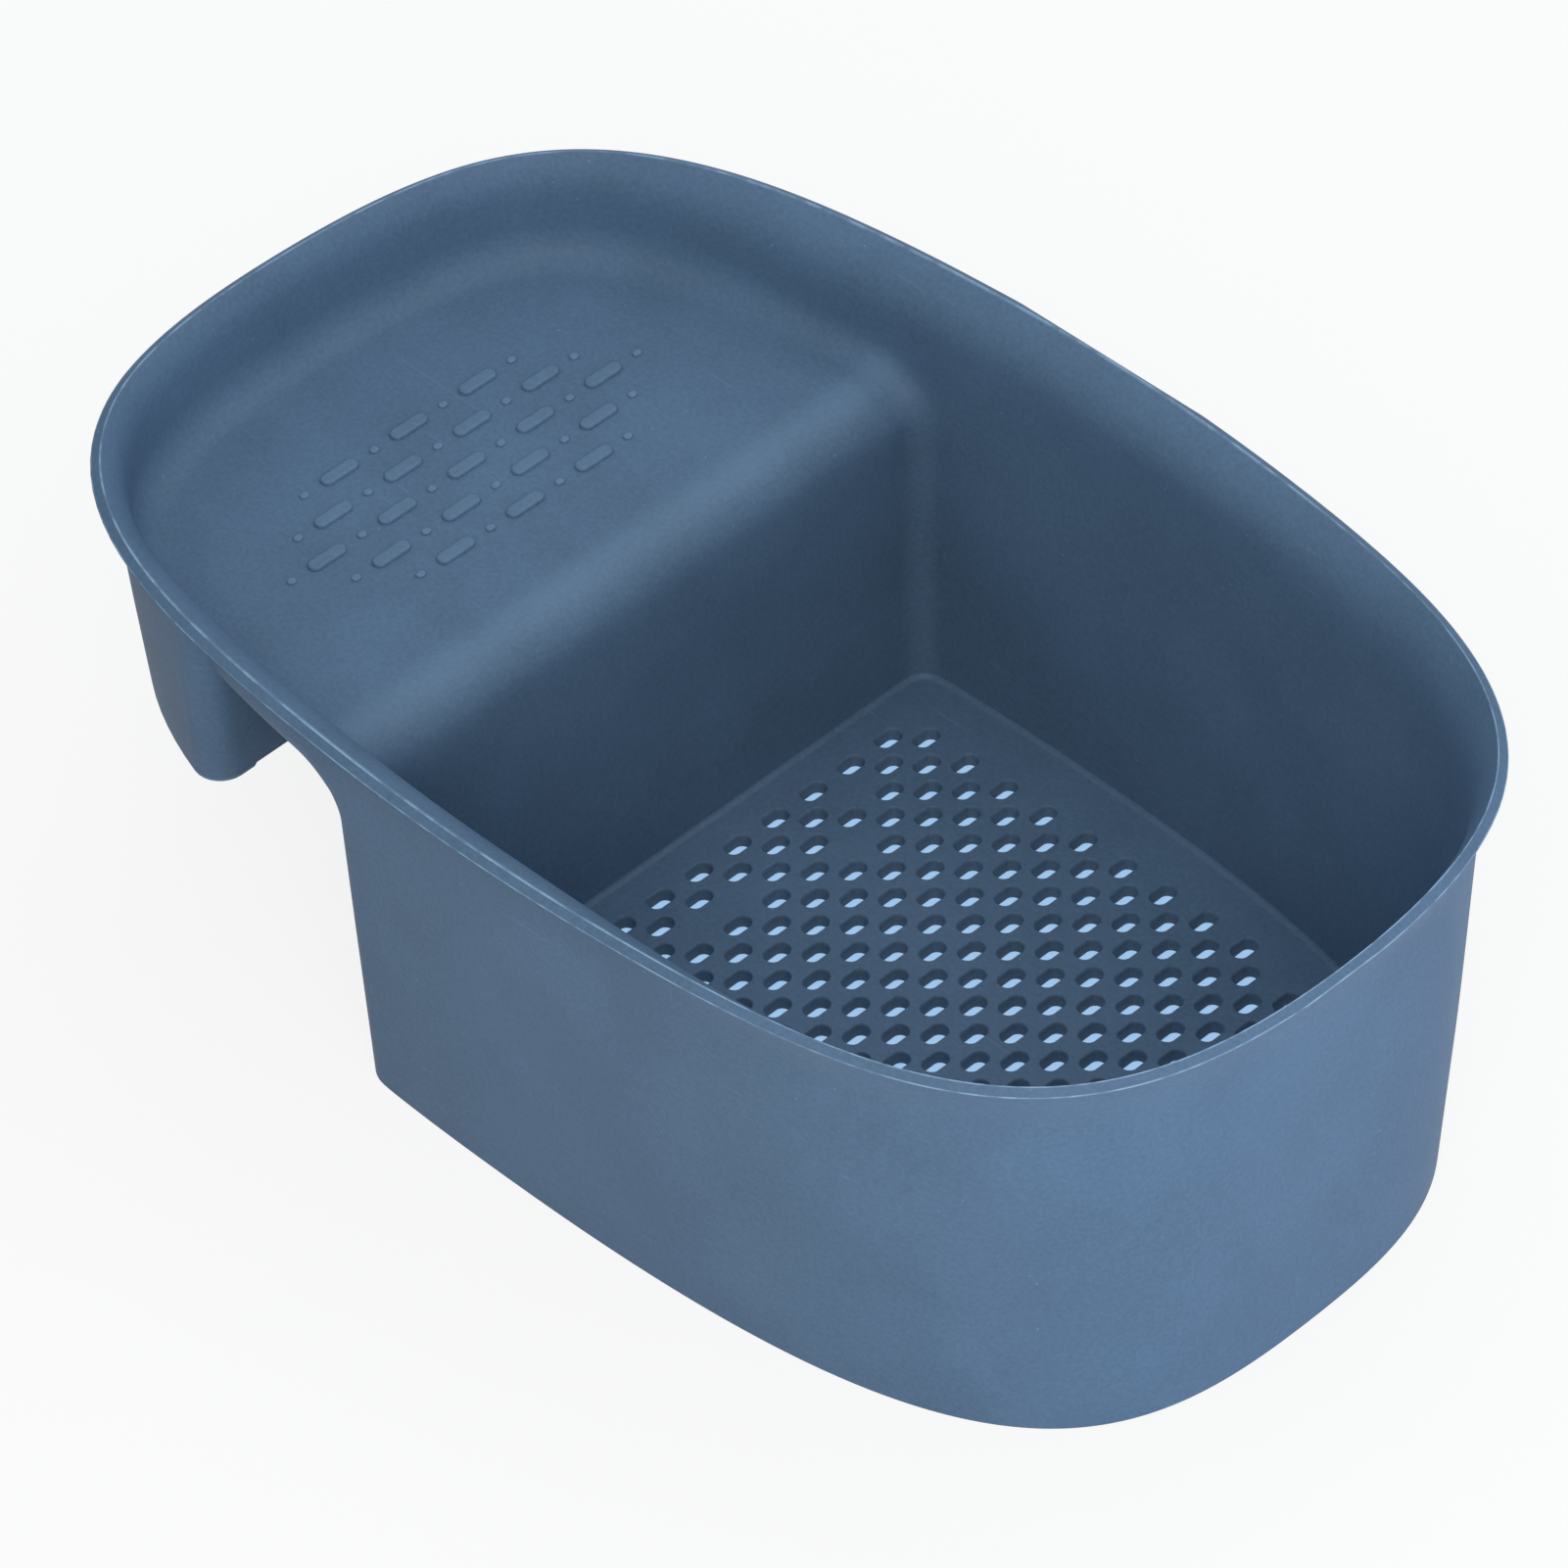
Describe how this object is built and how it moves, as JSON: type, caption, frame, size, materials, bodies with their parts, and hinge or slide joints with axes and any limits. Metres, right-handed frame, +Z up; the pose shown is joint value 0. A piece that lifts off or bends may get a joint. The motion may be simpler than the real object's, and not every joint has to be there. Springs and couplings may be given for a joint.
{
  "type": "sink drain basket",
  "caption": "Oval saddle basket that hangs over the divider of a double sink, with a deep slotted basket, a shallow shelf with raised grips and a skirt-shaped leg.",
  "frame": {"origin": "on the surface that the basket stands on, under the middle of the rim", "axes": "+X along the length towards the deep basket, +Y across, +Z up"},
  "size_m": [0.272, 0.1706, 0.0946],
  "materials": {
    "blue_plastic": "fine matt moulded texture"
  },
  "bodies": {
    "root": {"rim_lip": "blue_plastic", "shelf_wall": "blue_plastic", "shelf_floor": "blue_plastic", "shelf_front_roll": "blue_plastic", "divider_wall": "blue_plastic", "basket_wall": "blue_plastic", "drain_floor": "blue_plastic", "leg_front_wall": "blue_plastic", "leg_outer_wall": "blue_plastic"}
  },
  "joints": []
}
